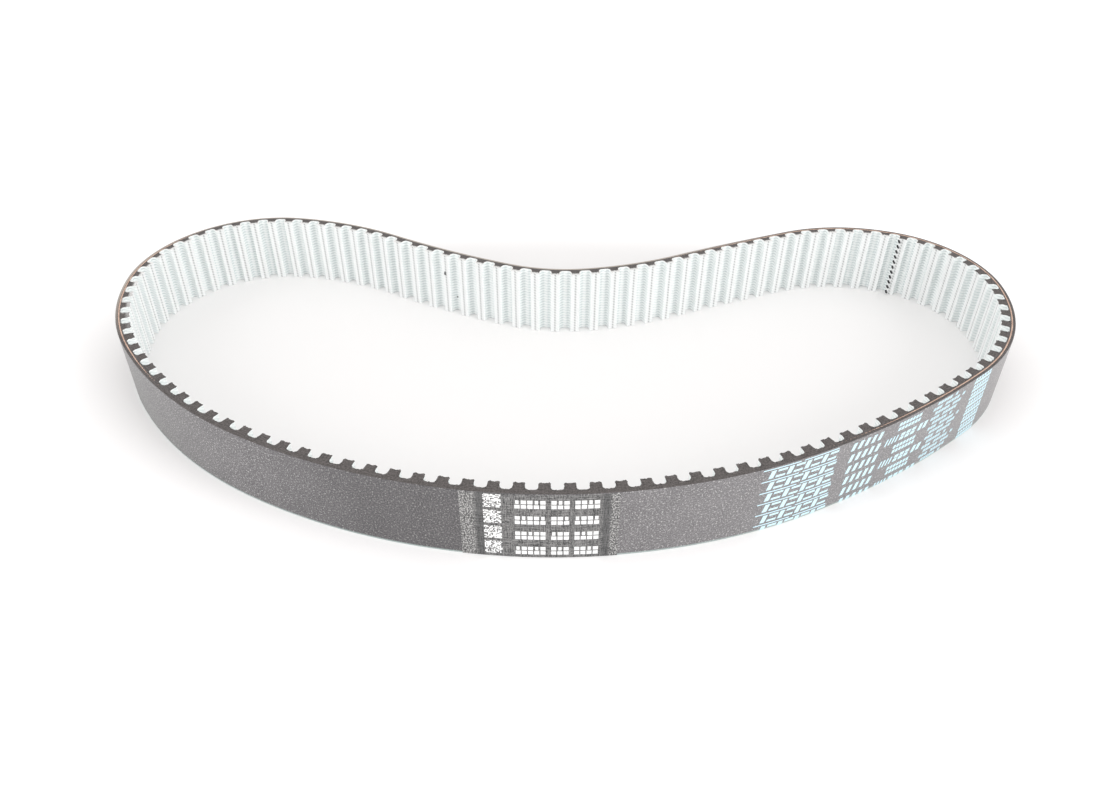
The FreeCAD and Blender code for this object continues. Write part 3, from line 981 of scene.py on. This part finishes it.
def print_mixed(marks, bottom):
    """Thin strokes, then short ones in two lines, then broad ones."""
    lifted = bottom + 0.2 * MM
    full = 2.9 * MM
    strokes(marks, MIXED_COLUMN, lifted, count=4, step=1.6 * MM, width=0.7 * MM, tall=full)
    for rise in (0.2 * MM, 1.8 * MM):
        start = MIXED_COLUMN + 6.8 * MM + PRINT_SLANT * rise
        strokes(marks, start, bottom + rise, count=3, step=2.7 * MM, width=2.0 * MM, tall=1.25 * MM)
    start = MIXED_COLUMN + 16.0 * MM
    strokes(marks, start, lifted, count=2, step=2.6 * MM, width=1.6 * MM, tall=full)


def print_small(marks):
    """Lines of fine strokes in pairs, with a pair left out here and there."""
    line_step = 2.15 * MM
    pair_step = 1.62 * MM
    for line in range(13):
        bottom = 0.5 * MM + line * line_step
        pairs = 8 + (line * 5) % 4
        for k in range(pairs):
            if (k * 7 + line * 3) % 6:
                left = SMALL_COLUMN + k * pair_step
                strokes(marks, left, bottom, count=2, step=0.72 * MM, width=0.5 * MM, tall=1.3 * MM)


def print_dense(marks):
    """Short strokes in lines of two kinds, close together."""
    row_step = 3.6 * MM
    for row in range(8):
        lower = row * row_step + 0.3 * MM
        upper = row * row_step + 1.9 * MM
        start = DENSE_COLUMN + 0.4 * MM
        strokes(marks, DENSE_COLUMN, lower, count=8, step=1.35 * MM, width=1.05 * MM, tall=1.2 * MM)
        strokes(marks, start, upper, count=6, step=1.75 * MM, width=1.1 * MM, tall=1.3 * MM)


# Tooth number of the left end, height and length of each
SCRATCHES = ((17.6, 26.2 * MM, 12.0 * MM), (19.0, 25.6 * MM, 7.5 * MM))
SCRATCH_BITS = 12
SCRATCH_SAG = 0.3 * MM
SCRATCH_WIDTH = 0.13 * MM
SCRATCH_THICKNESS = 0.01 * MM


def make_scratches():
    """Two fine pale scratches under the upper edge, which sag in the middle."""
    marks = Marks()
    for tooth, height, length in SCRATCHES:
        bit = length / SCRATCH_BITS
        for k in range(SCRATCH_BITS):
            sag = SCRATCH_SAG * math.sin(math.pi * k / (SCRATCH_BITS - 1))
            marks.block(tooth_station(tooth) + k * bit, height - sag, bit, SCRATCH_WIDTH)
    marks.build("scratch", SCUFF, BACK, thickness=SCRATCH_THICKNESS)


# ---- The seam's stitches ---------------------
LEAST_ROUND = 0.02             # keeps the end caps of rounded pieces from shrinking to a point


def rounded(along, power):
    """The radius along a rounded piece, as a share, from positions between -1 and 1."""
    return np.sqrt(np.maximum(1 - np.abs(along) ** power, LEAST_ROUND))


STITCHES = 11
STITCH_RADIUS = 0.44 * MM
STITCH_LENGTH = 1.9 * MM
STITCH_SECTIONS = 13
STITCH_SIDES = 10
STITCH_SLANT = math.radians(40)    # from upright
STITCH_LEAN = math.radians(50)     # of the corner's outward direction, from along the belt
STITCH_TILT = 0.08             # spread of each stitch's tilt away from the corner
STITCH_ARCH = 0.25 * MM        # how far a stitch's ends bend down
STITCH_OUT = 0.45 * STITCH_RADIUS   # from the corner to a stitch's middle


def make_stitches():
    """Rounded lengths of thread over the crown corner of the last tooth."""
    middle = tooth_station(FIRST_TOOTH - 1)
    corner_across, corner_depth = GROOVE_SIDE
    bent = float(curvature_at(middle))

    def on_tooth(across):
        return Vector((*place(middle + across / (1 - corner_depth * bent), corner_depth), 0))

    corner = on_tooth(-corner_across)
    sideways = (on_tooth(-corner_across + MM) - corner).normalized()
    inward = Vector((-sideways.y, sideways.x, 0))
    outward = sideways * math.cos(STITCH_LEAN) + inward * math.sin(STITCH_LEAN)
    down = sideways * math.sin(STITCH_LEAN) - inward * math.cos(STITCH_LEAN)
    axis = Vector((0, 0, math.cos(STITCH_SLANT))) + down * math.sin(STITCH_SLANT)
    side = axis.cross(outward).normalized()
    along = np.linspace(-1, 1, STITCH_SECTIONS)
    run = along * STITCH_LENGTH / 2
    angle = np.linspace(0, 2 * np.pi, STITCH_SIDES, endpoint=False)
    radius = STITCH_RADIUS * rounded(along, 4)
    ring = np.outer(np.cos(angle), outward) + np.outer(np.sin(angle), side)
    for index in range(STITCHES):
        turned = (axis + outward * random.normal(0, STITCH_TILT)).normalized()
        rise = Vector((0, 0, (index + 0.5) * WIDTH / STITCHES))
        centre = np.array(corner + outward * STITCH_OUT + rise)
        spine = centre + np.outer(run, turned) - np.outer(STITCH_ARCH * along ** 2, outward)
        rings = spine[:, None] + radius[:, None, None] * ring
        uv = np.stack(np.broadcast_arrays(run[:, None], angle * STITCH_RADIUS), -1)
        piece = band(f"stitch_{index + 1:02d}", rings, uv, [THREAD], angle=80)
        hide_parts("seam_thread")
        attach(piece, "length_11")


# ---- Crumbs of rubber caught on the fabric ---
# Tooth number, depth, height on the belt, and length, of each
CRUMBS = (
    (93.05, LAND + TOOTH_HEIGHT - 0.08 * MM, 19.4 * MM, 2.0 * MM),
    (92.6, LAND, 6.8 * MM, 0.9 * MM),
    (3.5, LAND, 13.4 * MM, 0.9 * MM),
    (3.42, LAND, 9.4 * MM, 0.8 * MM),
)
CRUMB_RADIUS = 0.32 * MM
CRUMB_TAPER = 0.35
CRUMB_FLATNESS = 0.6


def make_crumbs():
    """Drops of rubber, thicker at their lower end."""
    along = np.linspace(-1, 1, 7)[:, None]
    angle = np.linspace(0, 2 * np.pi, 8, endpoint=False)
    radius = CRUMB_RADIUS * rounded(along, 2) * (1 - CRUMB_TAPER * along)
    for index, (tooth, depth, height, tall) in enumerate(CRUMBS, 1):
        station = tooth_station(tooth) + radius * np.cos(angle)
        across = depth - CRUMB_FLATNESS * radius * np.sin(angle)
        rings = solid_points(station, across, height + along * tall / 2)
        uv = np.stack(np.broadcast_arrays(along * tall, angle * CRUMB_RADIUS), -1)
        piece = band(f"crumb_{index}", rings, uv, [THREAD], angle=80)
        holder = next(span for span in SPANS if span.low <= tooth_station(tooth) < span.high)
        holder.attach(piece)


# ---- Making it all ---------------------------
for each_span in SPANS:
    make_back(each_span)
    make_core(each_span)
    make_facing(each_span)
    for cord_number, (cord_tooth, reach_teeth) in enumerate(BARE_CORDS, 1):
        for is_upper in (True, False):
            cord_middle = tooth_station(cord_tooth)
            make_bare_cord(each_span, cord_number, cord_middle, reach_teeth * PITCH, is_upper)
make_label()
make_label_marks()
make_print()
make_scratches()
make_stitches()
make_crumbs()


# ---- Floor, light and camera -----------------
FLOOR_HALF = 3.0
FLOOR_DROP = 0.06 * MM         # keeps the paper clear of the belt's lower edge


def make_floor():
    mesh = bpy.data.meshes.new("floor")
    signs = ((-1, -1), (1, -1), (1, 1), (-1, 1))
    corners = [(x * FLOOR_HALF, y * FLOOR_HALF, -FLOOR_DROP) for x, y in signs]
    mesh.from_pydata(corners, [], [(0, 1, 2, 3)])
    mesh.materials.append(paper())
    floor = bpy.data.objects.new("floor", mesh)
    bpy.context.scene.collection.objects.link(floor)


LAMP_SIZE = 0.9                # across each round lamp
# Place in metres and power in watts of each lamp. All of them look at the middle of the loop
LAMPS = {
    "right": ((1.0, -0.75, 0.55), 5.5),
    "left": ((-1.1, -0.55, 0.55), 3.5),
    "overhead": ((0.0, -0.3, 1.3), 1.5),
}
SKY_COLOR = (1.0, 0.995, 0.99, 1)
SKY_STRENGTH = 0.96


def add_lamp(name, location, power):
    data = bpy.data.lights.new(name, "AREA")
    data.shape = "DISK"
    data.size = LAMP_SIZE
    data.energy = power
    lamp = bpy.data.objects.new(name, data)
    lamp.location = location
    lamp.rotation_euler = (-Vector(location)).to_track_quat("-Z", "Y").to_euler()
    bpy.context.scene.collection.objects.link(lamp)


CAMERA_TARGET = Vector((-5.153 * MM, -24.968 * MM, WIDTH / 2))
CAMERA_ELEVATION = math.radians(38.62)
CAMERA_DISTANCE = 345.15 * MM
CAMERA_ROLL = math.radians(0.193)
CAMERA_LENS = 30.92            # in millimetres, as the sensor is
SENSOR_WIDTH = 36


def make_camera():
    data = bpy.data.cameras.new("camera")
    data.lens = CAMERA_LENS
    data.sensor_width = SENSOR_WIDTH
    data.clip_start = 0.01
    data.clip_end = 20
    camera = bpy.data.objects.new("camera", data)
    away = Vector((0, -math.cos(CAMERA_ELEVATION), math.sin(CAMERA_ELEVATION)))
    level = Vector((1, 0, 0))
    over = away.cross(level)
    right = level * math.cos(CAMERA_ROLL) + over * math.sin(CAMERA_ROLL)
    up = over * math.cos(CAMERA_ROLL) - level * math.sin(CAMERA_ROLL)
    turn = Matrix((right, up, away)).transposed().to_4x4()
    camera.matrix_world = Matrix.Translation(CAMERA_TARGET + away * CAMERA_DISTANCE) @ turn
    bpy.context.scene.collection.objects.link(camera)
    bpy.context.scene.camera = camera


def make_light():
    world = bpy.data.worlds.new("studio")
    world.use_nodes = True
    background = world.node_tree.nodes["Background"]
    background.inputs["Color"].default_value = SKY_COLOR
    background.inputs["Strength"].default_value = SKY_STRENGTH
    bpy.context.scene.world = world
    for name, (location, power) in LAMPS.items():
        add_lamp(name, location, power)
    bpy.context.scene.view_settings.view_transform = "Standard"
    bpy.context.scene.view_settings.look = "None"


make_floor()
make_light()
make_camera()
